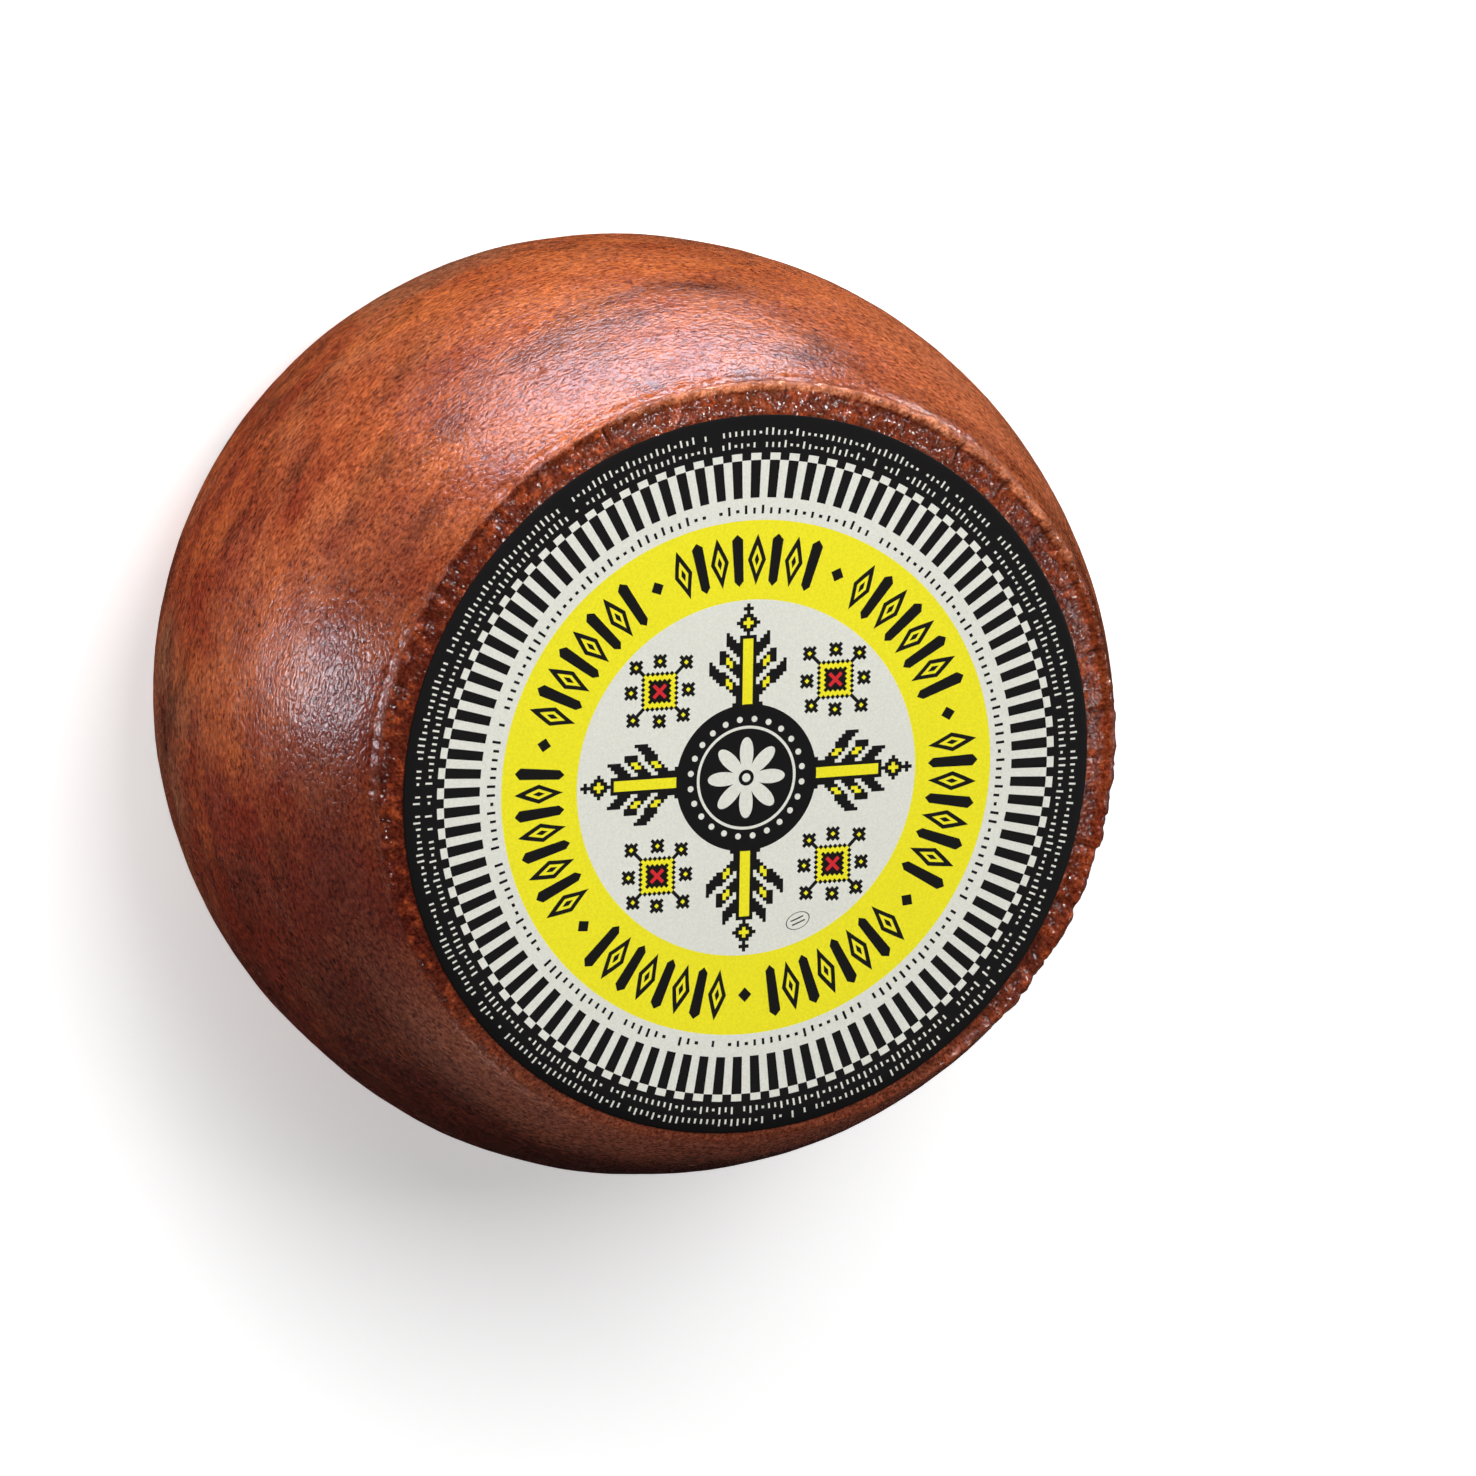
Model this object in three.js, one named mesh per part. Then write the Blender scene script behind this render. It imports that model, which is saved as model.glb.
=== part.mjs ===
// A whole wheel of oiled hard cheese lying flat on its plain face, with a round paper label on top.
// Millimetres, +Z up. The origin is the centre of the face the wheel lies on; +Y is the top of the
// label's print.
import * as THREE from "three";

// Wheel: bulging side, two equal flat faces, rounded shoulders.
const WHEEL_DIAMETER = 195;
const WHEEL_HEIGHT = 132;
const FACE_DIAMETER = 159;
const SHOULDER_RADIUS = 3.5;

// Label: one disc of paper on the upper face, stuck on a little off the wheel's axis.
const LABEL_MARGIN = 2.5;
const LABEL_THICKNESS = 0.4;
const LABEL_OFFSET_X = -1.0;
const LABEL_OFFSET_Y = -1.8;
const CONTACT_GAP = 0.3;

// How finely the round shapes are cut into facets.
const TURN_STEPS = 96;
const SIDE_STEPS = 18;
const SHOULDER_STEPS = 4;

// The arcs of the half outline: one big arc up the side, tangent to a small one at each shoulder.
function outlineArcs() {
  const half = WHEEL_HEIGHT / 2;
  const widest = WHEEL_DIAMETER / 2;
  const face = FACE_DIAMETER / 2;
  const bulge = widest - face;
  const shoulder = Math.min(SHOULDER_RADIUS, 0.8 * bulge);
  const rise = half - shoulder;
  const squares = bulge * bulge + rise * rise - shoulder * shoulder;
  const side = squares / (2 * (bulge - shoulder));
  const centre = widest - side;
  return {
    half,
    face,
    shoulder,
    rise,
    side,
    centre,
    tangent: Math.atan2(rise, face - centre),
  };
}

// Points of an arc round (cx, cz), from one angle to another, both ends included.
function arcPoints(cx, cz, radius, from, to, steps) {
  const points = [];
  for (let i = 0; i <= steps; i += 1) {
    const angle = from + ((to - from) * i) / steps;
    const x = cx + radius * Math.cos(angle);
    const z = cz + radius * Math.sin(angle);
    points.push(new THREE.Vector2(x, z));
  }
  return points;
}

// The half outline of the wheel, from the axis at the bottom to the axis at the top.
function wheelProfile() {
  const arcs = outlineArcs();
  const low = arcPoints(
    arcs.face,
    arcs.half - arcs.rise,
    arcs.shoulder,
    -Math.PI / 2,
    -arcs.tangent,
    SHOULDER_STEPS,
  );
  const side = arcPoints(
    arcs.centre,
    arcs.half,
    arcs.side,
    -arcs.tangent,
    arcs.tangent,
    SIDE_STEPS,
  );
  const high = arcPoints(
    arcs.face,
    arcs.half + arcs.rise,
    arcs.shoulder,
    arcs.tangent,
    Math.PI / 2,
    SHOULDER_STEPS,
  );
  return [
    new THREE.Vector2(0, 0),
    ...low,
    ...side.slice(1, -1),
    ...high,
    new THREE.Vector2(0, WHEEL_HEIGHT),
  ];
}

// Rind and paste are one solid.
function makeWheel() {
  const geometry = new THREE.LatheGeometry(wheelProfile(), TURN_STEPS);
  geometry.rotateX(Math.PI / 2);
  const material = new THREE.MeshStandardMaterial({
    name: "rind",
    color: 0x8a3518,
    roughness: 0.4,
    metalness: 0,
  });
  const mesh = new THREE.Mesh(geometry, material);
  mesh.name = "cheese_wheel";
  return mesh;
}

// The paper label, lying inside the flat part of the upper face.
function makeLabel() {
  const radius = FACE_DIAMETER / 2 - LABEL_MARGIN;
  const geometry = new THREE.CylinderGeometry(radius, radius, LABEL_THICKNESS, TURN_STEPS);
  geometry.rotateX(Math.PI / 2);
  const material = new THREE.MeshStandardMaterial({
    name: "label_paper",
    color: 0xdedfd4,
    roughness: 0.8,
    metalness: 0,
  });
  const mesh = new THREE.Mesh(geometry, material);
  mesh.name = "paper_label";
  const middle = WHEEL_HEIGHT + CONTACT_GAP + LABEL_THICKNESS / 2;
  mesh.position.set(LABEL_OFFSET_X, LABEL_OFFSET_Y, middle);
  return mesh;
}

function makeCheeseWheel() {
  const group = new THREE.Group();
  group.name = "cheese_wheel_with_label";
  group.add(makeWheel());
  group.add(makeLabel());
  return group;
}

export default makeCheeseWheel();
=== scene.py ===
"""The finished look of a whole wheel of oiled hard cheese with a round printed paper label."""
import logging
import math
from dataclasses import dataclass, field
from enum import Enum
from typing import Mapping, NamedTuple, Optional, Sequence, Union

import bpy
from mathutils import Matrix, Vector


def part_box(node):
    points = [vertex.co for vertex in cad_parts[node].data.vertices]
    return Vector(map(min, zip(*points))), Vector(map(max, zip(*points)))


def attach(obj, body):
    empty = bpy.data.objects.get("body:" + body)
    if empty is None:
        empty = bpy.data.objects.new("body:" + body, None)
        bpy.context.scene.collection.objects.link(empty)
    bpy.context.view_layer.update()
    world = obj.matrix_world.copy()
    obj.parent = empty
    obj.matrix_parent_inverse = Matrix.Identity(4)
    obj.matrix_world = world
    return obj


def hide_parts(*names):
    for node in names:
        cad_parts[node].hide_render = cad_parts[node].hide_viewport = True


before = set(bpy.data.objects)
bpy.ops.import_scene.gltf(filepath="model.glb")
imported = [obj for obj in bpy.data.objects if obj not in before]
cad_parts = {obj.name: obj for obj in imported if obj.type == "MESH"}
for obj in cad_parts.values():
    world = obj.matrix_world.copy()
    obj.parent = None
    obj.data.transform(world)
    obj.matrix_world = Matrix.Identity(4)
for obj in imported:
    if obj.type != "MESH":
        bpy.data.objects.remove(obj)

LOG = logging.getLogger("cheese_wheel")
MM = 0.001
TURN = 2.0 * math.pi
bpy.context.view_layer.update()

Colour = tuple[float, float, float, float]
Point = tuple[float, float]
Span = tuple[float, float]


class TreeKind(Enum):
    """The sort of node tree a graph is built in."""

    GEOMETRY = "GeometryNodeTree"
    SHADER = "ShaderNodeTree"


class SocketKind(Enum):
    """The sort of value a group's socket carries."""

    NUMBER = "NodeSocketFloat"
    WHOLE = "NodeSocketInt"
    VECTOR = "NodeSocketVector"
    COLOUR = "NodeSocketColor"
    MESH = "NodeSocketGeometry"
    MATERIAL = "NodeSocketMaterial"


class Wire:
    """One output of a node, on which sums can be written."""

    def __init__(self, graph: "Graph", socket: bpy.types.NodeSocket) -> None:
        """Keep the graph and the socket.

        Args:
            graph: The graph the socket's node is in.
            socket: The output socket.
        """
        self.graph = graph
        self.socket = socket

    def __add__(self, other: "Value") -> "Wire":
        """This plus other."""
        return self.graph.math("ADD", self, other)

    __radd__ = __add__

    def __sub__(self, other: "Value") -> "Wire":
        """This minus other."""
        return self.graph.math("SUBTRACT", self, other)

    def __rsub__(self, other: "Value") -> "Wire":
        """Other minus this."""
        return self.graph.math("SUBTRACT", other, self)

    def __mul__(self, other: "Value") -> "Wire":
        """This times other."""
        return self.graph.math("MULTIPLY", self, other)

    __rmul__ = __mul__

    def __truediv__(self, other: "Value") -> "Wire":
        """This over other."""
        return self.graph.math("DIVIDE", self, other)

    def __lt__(self, other: "Value") -> "Wire":
        """1 where this is less than other, else 0."""
        return self.graph.math("LESS_THAN", self, other)

    def __gt__(self, other: "Value") -> "Wire":
        """1 where this is more than other, else 0."""
        return self.graph.math("GREATER_THAN", self, other)


Value = Union[Wire, float, int, Sequence[float], bpy.types.Material]


class Graph:
    """A node tree with short calls for the nodes this object needs."""

    def __init__(self, tree: bpy.types.NodeTree) -> None:
        """Wrap a node tree.

        Args:
            tree: The tree to build in.
        """
        self.tree = tree

    @classmethod
    def group(cls, name: str, kind: TreeKind) -> "Graph":
        """A graph on a new node group.

        Args:
            name: The group's name.
            kind: Geometry or shader.

        Returns:
            The empty graph.
        """
        return cls(bpy.data.node_groups.new(name, kind.value))

    def inputs(self, sockets: Mapping[str, tuple[SocketKind, object]]) -> dict[str, Wire]:
        """Give the group its inputs.

        Args:
            sockets: Each input's name, with its kind and its default, or None for no default.

        Returns:
            The wire that leaves each input, by name.
        """
        for name, (kind, default) in sockets.items():
            socket = self.tree.interface.new_socket(
                name=name, in_out="INPUT", socket_type=kind.value
            )
            if default is not None:
                socket.default_value = default
        entry = self.tree.nodes.new("NodeGroupInput")
        return {name: Wire(self, entry.outputs[name]) for name in sockets}

    def outputs(self, sockets: Mapping[str, tuple[SocketKind, Wire]]) -> None:
        """Give the group its outputs.

        Args:
            sockets: Each output's name, with its kind and the wire that feeds it.
        """
        for name, (kind, _) in sockets.items():
            self.tree.interface.new_socket(
                name=name, in_out="OUTPUT", socket_type=kind.value
            )
        leave = self.tree.nodes.new("NodeGroupOutput")
        for name, (_, wire) in sockets.items():
            self.tree.links.new(wire.socket, leave.inputs[name])

    def feed(self, socket: bpy.types.NodeSocket, value: Value) -> None:
        """Link a wire to an input, or set the input to a constant.

        Args:
            socket: The input socket.
            value: A wire or a constant.
        """
        if isinstance(value, Wire):
            self.tree.links.new(value.socket, socket)
        else:
            socket.default_value = value

    def node(
        self, kind: str, feeds: Optional[Mapping[Union[str, int], Value]] = None, **settings: object
    ) -> bpy.types.Node:
        """Make a node.

        Args:
            kind: Blender's name for the node's type.
            feeds: What goes to each input, by the input's name or number.
            settings: Properties to set on the node first.

        Returns:
            The node.
        """
        made = self.tree.nodes.new(kind)
        for name, setting in settings.items():
            setattr(made, name, setting)
        for key, value in (feeds or {}).items():
            if isinstance(key, int):
                socket = made.inputs[key]
            else:
                socket = next(s for s in made.inputs if s.name == key and s.enabled)
            self.feed(socket, value)
        return made

    def out(self, node: bpy.types.Node, name: Union[str, int] = 0) -> Wire:
        """The wire from one of a node's outputs."""
        if isinstance(name, int):
            return Wire(self, node.outputs[name])
        return Wire(self, next(s for s in node.outputs if s.name == name and s.enabled))

    def math(self, operation: str, *terms: Value, clamp: bool = False) -> Wire:
        """A sum on numbers.

        Args:
            operation: Blender's name for the sum.
            terms: The one to three numbers it works on.
            clamp: Whether the answer is held between 0 and 1.

        Returns:
            The answer's wire.
        """
        made = self.node("ShaderNodeMath", dict(enumerate(terms)), operation=operation)
        made.use_clamp = clamp
        return self.out(made)

    def vector(self, operation: str, *terms: Value) -> Wire:
        """A sum on vectors whose answer is a vector."""
        made = self.node("ShaderNodeVectorMath", dict(enumerate(terms)), operation=operation)
        return self.out(made, "Vector")

    def scaled(self, vector: Value, scale: Value) -> Wire:
        """A vector times a number."""
        made = self.node(
            "ShaderNodeVectorMath", {"Vector": vector, "Scale": scale}, operation="SCALE"
        )
        return self.out(made, "Vector")

    def split(self, vector: Wire) -> tuple[Wire, Wire, Wire]:
        """A vector's three numbers."""
        made = self.node("ShaderNodeSeparateXYZ", {0: vector})
        return self.out(made, 0), self.out(made, 1), self.out(made, 2)

    def join(self, x: Value, y: Value, z: Value) -> Wire:
        """Three numbers as a vector."""
        return self.out(self.node("ShaderNodeCombineXYZ", {0: x, 1: y, 2: z}))

    def ramp(self, value: Value, low: Value, high: Value, smooth: bool = True) -> Wire:
        """0 below low, 1 above high, with a slope between; low may be the larger."""
        made = self.node(
            "ShaderNodeMapRange",
            {"Value": value, "From Min": low, "From Max": high},
            interpolation_type="SMOOTHSTEP" if smooth else "LINEAR",
        )
        return self.out(made)

    def attribute(self, name: str) -> Wire:
        """A number that a shader reads from the mesh."""
        return self.out(self.node("ShaderNodeAttribute", attribute_name=name), "Fac")

    def between(self, value: Wire, low: Value, high: Value) -> Wire:
        """1 where value lies between low and high, else 0."""
        return (value > low) * (value < high)

    def either(self, *masks: Wire) -> Wire:
        """The largest of some masks."""
        total = masks[0]
        for mask in masks[1:]:
            total = self.math("MAXIMUM", total, mask)
        return total

    def fract(self, value: Value) -> Wire:
        """The part of a number after the point."""
        return self.math("FRACT", value)

    def size(self, value: Value) -> Wire:
        """A number without its sign."""
        return self.math("ABSOLUTE", value)

    def mix(self, share: Value, first: Value, second: Value) -> Wire:
        """Two numbers mixed."""
        return self.out(
            self.node("ShaderNodeMix", {0: share, 2: first, 3: second}, data_type="FLOAT"), 0
        )

    def mix_vector(self, share: Value, first: Value, second: Value) -> Wire:
        """Two vectors mixed."""
        return self.out(
            self.node("ShaderNodeMix", {0: share, 4: first, 5: second}, data_type="VECTOR"), 1
        )

    def tint(self, share: Value, first: Value, second: Value, blend: str = "MIX") -> Wire:
        """Two colours mixed, or blended in another way."""
        made = self.node(
            "ShaderNodeMix", {0: share, 6: first, 7: second}, data_type="RGBA", blend_type=blend
        )
        return self.out(made, 2)

    def noise(
        self, vector: Value, scale: Value, detail: float = 2.0, rough: float = 0.5, w: Value = 0.0
    ) -> Wire:
        """Smooth noise from 0 to 1.

        Args:
            vector: Where the noise is read.
            scale: How many features there are in a metre.
            detail: How many finer layers there are.
            rough: How strong the finer layers are.
            w: A seed: another value gives other noise.

        Returns:
            The noise.
        """
        made = self.node(
            "ShaderNodeTexNoise",
            {"Vector": vector, "W": w, "Scale": scale, "Detail": detail, "Roughness": rough},
            noise_dimensions="4D",
        )
        return self.out(made, 0)

    def cells(self, vector: Value, scale: Value, feature: str = "F1") -> bpy.types.Node:
        """A Voronoi node, whose Distance and Color may be read."""
        feeds = {"Vector": vector, "Scale": scale}
        return self.node("ShaderNodeTexVoronoi", feeds, feature=feature)

    def chance(self, value: Value) -> Wire:
        """A number from 0 to 1 that is different for each whole number."""
        made = self.node("ShaderNodeTexWhiteNoise", {"W": value}, noise_dimensions="1D")
        return self.out(made, "Value")


def use_group(
    graph: Graph, group: bpy.types.NodeTree, feeds: Mapping[str, Value]
) -> bpy.types.Node:
    """Place a node group in a graph.

    Args:
        graph: The graph it goes in.
        group: The group.
        feeds: What goes to each of its inputs.

    Returns:
        The group's node.
    """
    kind = "GeometryNodeGroup" if group.bl_idname == TreeKind.GEOMETRY.value else "ShaderNodeGroup"
    made = graph.tree.nodes.new(kind)
    made.node_tree = group
    for name, value in feeds.items():
        graph.feed(made.inputs[name], value)
    return made


# ---------------------------------------------------------------- shared shader groups


def make_pebble_group() -> bpy.types.NodeTree:
    """Fine pebbled relief, for the skin of the rind and the fibres of the paper.

    Returns:
        A group with inputs Vector, W, Size and Crack Share, and output Height.
    """
    graph = Graph.group("pebbled_relief", TreeKind.SHADER)
    wires = graph.inputs(
        {
            "Vector": (SocketKind.VECTOR, None),
            "W": (SocketKind.NUMBER, 0.0),
            "Size": (SocketKind.NUMBER, 0.0012),
            "Crack Share": (SocketKind.NUMBER, 0.4),
        }
    )
    scale = graph.math("DIVIDE", 1.0, wires["Size"])
    soft = graph.noise(wires["Vector"], scale, 3.0, 0.66, wires["W"])
    fine = graph.noise(wires["Vector"], scale * 0.83, 1.0, 0.5, wires["W"] + 0.31)
    crack = graph.math("SQRT", graph.size(fine - 0.5) * 2.6, clamp=True)
    height = graph.mix(wires["Crack Share"], soft, crack)
    graph.outputs({"Height": (SocketKind.NUMBER, height)})
    return graph.tree


def make_mottle_group() -> bpy.types.NodeTree:
    """Soft blotches, for uneven colour in the rind and uneven ink on the paper.

    Returns:
        A group with inputs Vector, W, Size, Low and High, and output Mask.
    """
    graph = Graph.group("mottle", TreeKind.SHADER)
    wires = graph.inputs(
        {
            "Vector": (SocketKind.VECTOR, None),
            "W": (SocketKind.NUMBER, 0.0),
            "Size": (SocketKind.NUMBER, 0.02),
            "Low": (SocketKind.NUMBER, 0.4),
            "High": (SocketKind.NUMBER, 0.6),
        }
    )
    scale = graph.math("DIVIDE", 1.0, wires["Size"])
    noise = graph.noise(wires["Vector"], scale, 4.0, 0.6, wires["W"])
    graph.outputs({"Mask": (SocketKind.NUMBER, graph.ramp(noise, wires["Low"], wires["High"]))})
    return graph.tree


@dataclass(frozen=True)
class SharedGroups:
    """The shader groups that more than one material uses."""

    pebble: bpy.types.NodeTree
    mottle: bpy.types.NodeTree

    @classmethod
    def build(cls) -> "SharedGroups":
        """Make each group once."""
        return cls(make_pebble_group(), make_mottle_group())


def new_material(name: str) -> tuple[bpy.types.Material, Graph, bpy.types.Node]:
    """A material with a Principled shader.

    Args:
        name: The material's name.

    Returns:
        The material, a graph on its tree, and its Principled node.
    """
    material = bpy.data.materials.new(name)
    material.use_nodes = True
    graph = Graph(material.node_tree)
    shader = next(n for n in material.node_tree.nodes if n.type == "BSDF_PRINCIPLED")
    return material, graph, shader


# ---------------------------------------------------------------- finishes


@dataclass(frozen=True)
class Blotches:
    """One layer of blotches: where its noise is read, their size, and where they start and fill."""

    w: float
    size: float
    low: float
    high: float


class Skin(NamedTuple):
    """What the rind's colour is worked out from at each point."""

    graph: Graph
    shared: SharedGroups
    place: Wire
    drawn: Wire
    out: Wire
    fleck: Wire
    grain: Wire
    band: Wire


@dataclass(frozen=True)
class OiledRind:
    """The finish of an aged rind that has been rubbed with oil.

    Spans of x, along (y) and level (z) are in metres; each runs from where its effect starts to
    where it is full.
    """

    # dark maroon for blotches and dots; also painted shade below, in hollows and creases
    deep_dark_and_shade: Colour = (0.042, 0.0085, 0.005, 1.0)
    brown: Colour = (0.27, 0.027, 0.0105, 1.0)
    amber: Colour = (0.64, 0.128, 0.031, 1.0)
    tan: Colour = (0.36, 0.115, 0.058, 1.0)
    # the dark band's own colour, also the tint of the painted shade round the left shoulder
    ring: Colour = (0.105, 0.0135, 0.0072, 1.0)
    knob: Colour = (0.44, 0.066, 0.020, 1.0)
    # painted sheen: the pinkish paler tone on the lower left shoulder
    painted_sheen: Colour = (0.46, 0.115, 0.060, 1.0)
    # painted light: the brighter orange laid on the upper right side
    glow: Colour = (0.84, 0.185, 0.068, 1.0)
    # painted highlight: the bright orange on the ridge's crest where it faces the light
    painted_crest_highlight: Colour = (0.92, 0.27, 0.135, 1.0)
    dark_tone: tuple[float, float, float] = (0.34, 0.23, 0.20)
    light_tone: tuple[float, float, float] = (1.50, 1.95, 1.95)
    roughness: float = 0.185
    fleck: float = 0.72 * MM
    grain: float = 1.15 * MM
    grain_cracks: float = 0.62
    grain_depth: float = 0.31 * MM
    boss: float = 0.85 * MM
    stretch: float = 0.66
    girth: float = 90.0 * MM
    dots_per_metre: float = 150.0
    broad: Blotches = Blotches(0.2, 0.05, 0.3, 0.7)
    streak: Blotches = Blotches(0.4, 0.011, 0.32, 0.68)
    worn: Blotches = Blotches(0.9, 0.034, 0.42, 0.72)
    deep: Blotches = Blotches(1.3, 0.016, 0.50, 0.74)
    wet: Blotches = Blotches(0.0, 0.018, 0.35, 0.7)
    # painted light: where along y the rind turns from brown to amber towards the lit top
    painted_top_light_along: Span = (-0.06, 0.105)
    # tan worn patches grow stronger low on the side, partly as painted sheen
    worn_and_sheen_level: Span = (0.085, 0.03)
    # painted shade under the bulge: where it starts and fills along y and in height
    painted_shade_along: Span = (0.01, -0.11)
    painted_shade_rise: Span = (0.02, 0.10)
    painted_shade_fall: Span = (0.124, 0.114)
    # painted shade round the left shoulder
    shoulder_shade_level: Span = (0.088, 0.122)
    shoulder_shade_far: Span = (0.075, 0.03)
    shoulder_shade_near: Span = (-0.080, -0.045)
    # painted sheen on the lower left shoulder
    painted_sheen_level: Span = (0.106, 0.124)
    painted_sheen_along: Span = (-0.030, -0.065)
    # painted light: the band turns rosier towards +x
    east_light_x: Span = (0.066, 0.078)
    # painted light on the upper right side
    right_light_way: tuple[float, float] = (0.77, 0.64)
    right_light_reach: Span = (0.068, 0.088)
    right_light_level: Span = (0.124, 0.115)
    # painted light: the band stays lighter on the side facing up and right
    lit_side_way: tuple[float, float] = (0.7, 0.7)
    lit_side_reach: Span = (0.022, 0.062)
    # painted highlight on the crest, on the side facing up
    crest_highlight_way: tuple[float, float] = (0.34, 0.94)
    crest_highlight_reach: Span = (0.053, 0.078)
    ring_along: Span = (-0.080, -0.035)

    def build(self, shared: SharedGroups) -> bpy.types.Material:
        """Make the material.

        Args:
            shared: The shared groups.

        Returns:
            The material.
        """
        material, graph, shader = new_material("oiled_rind")
        place = graph.out(graph.node("ShaderNodeTexCoord"), "Object")
        ragged = graph.noise(place, 480.0, 3.0, 0.65) - 0.5
        band = graph.ramp(graph.attribute("band") + ragged * 1.6, 0.3, 0.62)
        x, y, z = graph.split(place)
        out = graph.math("MAXIMUM", graph.math("SQRT", x * x + y * y), 0.001)
        hoop = graph.mix(band, self.girth * self.stretch, self.girth)
        drawn = graph.join(x / out * hoop, y / out * hoop, z)

        fleck = self.pebble(graph, shared, drawn, out, self.fleck, 0.0)
        grain = self.pebble(graph, shared, drawn, out + 0.7, self.grain, self.grain_cracks)
        boss = graph.noise(place, 1.0 / self.boss, 1.0, 0.4, 0.5)
        relief = graph.mix(band, fleck * 0.36 + grain * 0.64, boss * 1.25 + fleck * 0.15)

        skin = Skin(graph, shared, place, drawn, out, fleck, grain, band)
        colour = self.painted_light_and_shade(skin, self.blotched(skin))
        colour = self.grain_dots_and_painted_shade(skin, self.banded(skin, colour))
        graph.feed(shader.inputs["Base Color"], colour)

        wet = self.patches(skin, place, self.wet, self.wet.w)
        rough = graph.mix(wet, self.roughness + 0.04, self.roughness - 0.04)
        rough = graph.mix(grain, rough + 0.08, rough) - band * 0.13
        graph.feed(shader.inputs["Roughness"], rough)
        shader.inputs["IOR"].default_value = 1.5

        bump = graph.node(
            "ShaderNodeBump",
            {"Height": relief, "Strength": 1.0, "Distance": self.grain_depth},
        )
        graph.feed(shader.inputs["Normal"], graph.out(bump))
        return material

    @staticmethod
    def pebble(
        graph: Graph, shared: SharedGroups, vector: Wire, w: Value, size: float, cracks: float
    ) -> Wire:
        """Place the pebbled relief.

        Args:
            graph: The material's graph.
            shared: The shared groups.
            vector: Where it is read.
            w: The fourth coordinate.
            size: The size of its bumps, in metres.
            cracks: The share of fine cracks in it.

        Returns:
            The height, from 0 to 1.
        """
        feeds = {"Vector": vector, "W": w, "Size": size, "Crack Share": cracks}
        return graph.out(use_group(graph, shared.pebble, feeds))

    @staticmethod
    def patches(skin: Skin, vector: Wire, layer: Blotches, w: Value) -> Wire:
        """Place the mottle.

        Args:
            skin: The skin.
            vector: Where it is read.
            layer: The layer of blotches.
            w: The fourth coordinate.

        Returns:
            The mask, from 0 to 1.
        """
        feeds = {"Vector": vector, "W": w, "Size": layer.size, "Low": layer.low, "High": layer.high}
        return skin.graph.out(use_group(skin.graph, skin.shared.mottle, feeds))

    @staticmethod
    def towards(graph: Graph, place: Wire, way: tuple[float, float], reach: Span) -> Wire:
        """1 on the side of the wheel that faces one way, fading to 0.

        Args:
            graph: The material's graph.
            place: Position on the wheel.
            way: The way's two numbers.
            reach: The span of distances that way over which it fills.

        Returns:
            The mask.
        """
        x, along, _ = graph.split(place)
        return graph.ramp(x * way[0] + along * way[1], *reach)

    def blotched(self, skin: Skin) -> Wire:
        """The rind's colour: blotches, painted light up top, tan wear with painted sheen low down.

        Args:
            skin: The skin.

        Returns:
            The colour.
        """
        graph = skin.graph
        _, along, level = graph.split(skin.place)
        # painted light: warmer amber towards the top, where the light falls, brown lower down
        painted_top_light = graph.ramp(along, *self.painted_top_light_along)
        broad = self.patches(skin, skin.place, self.broad, self.broad.w) - 0.5
        streak = self.patches(skin, skin.drawn, self.streak, skin.out + self.streak.w) - 0.5
        warm = graph.math("ADD", painted_top_light * 0.8 + broad * 0.6, streak * 0.55 - 0.04, clamp=True)
        colour = graph.tint(warm, self.brown, self.amber)
        worn = self.patches(skin, skin.place, self.worn, self.worn.w)
        # tan worn patches, with more of them low on the side as painted sheen
        low = graph.ramp(level, *self.worn_and_sheen_level)
        worn = graph.math("MULTIPLY", worn, 0.28 + low * 0.85, clamp=True)
        colour = graph.tint(worn, colour, self.tan)
        deep = self.patches(skin, skin.drawn, self.deep, skin.out + self.deep.w)
        return graph.tint(deep * 0.72, colour, self.deep_dark_and_shade)

    def painted_light_and_shade(self, skin: Skin, colour: Wire) -> Wire:
        """Painted light: shade under the bulge and left shoulder, sheen low down, light far right.

        Args:
            skin: The skin.
            colour: The colour so far.

        Returns:
            The colour.
        """
        graph = skin.graph
        _, along, level = graph.split(skin.place)
        # painted shade under the bulge, darker towards the bottom and low on the side
        under = graph.ramp(along, *self.painted_shade_along) * graph.ramp(level, *self.painted_shade_rise)
        under = under * graph.ramp(level, *self.painted_shade_fall)
        colour = graph.tint(under * 0.74, colour, self.deep_dark_and_shade)
        # painted shade round the left shoulder, tinted towards the band's dark colour
        painted_shoulder_shade = graph.ramp(level, *self.shoulder_shade_level) * graph.ramp(along, *self.shoulder_shade_far)
        painted_shoulder_shade = painted_shoulder_shade * graph.ramp(along, *self.shoulder_shade_near)
        colour = graph.tint(painted_shoulder_shade * 0.55, colour, self.ring)
        # painted sheen: a paler pinkish tone on the lower left shoulder
        pale = graph.ramp(level, *self.painted_sheen_level) * graph.ramp(along, *self.painted_sheen_along)
        colour = graph.tint(pale * 0.6, colour, self.painted_sheen)
        # painted light: the side facing the upper right turns brighter orange
        painted_right_light = self.towards(graph, skin.place, self.right_light_way, self.right_light_reach)
        painted_right_light = painted_right_light * graph.ramp(level, *self.right_light_level)
        return graph.tint(painted_right_light * 0.6, colour, self.glow)

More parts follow.
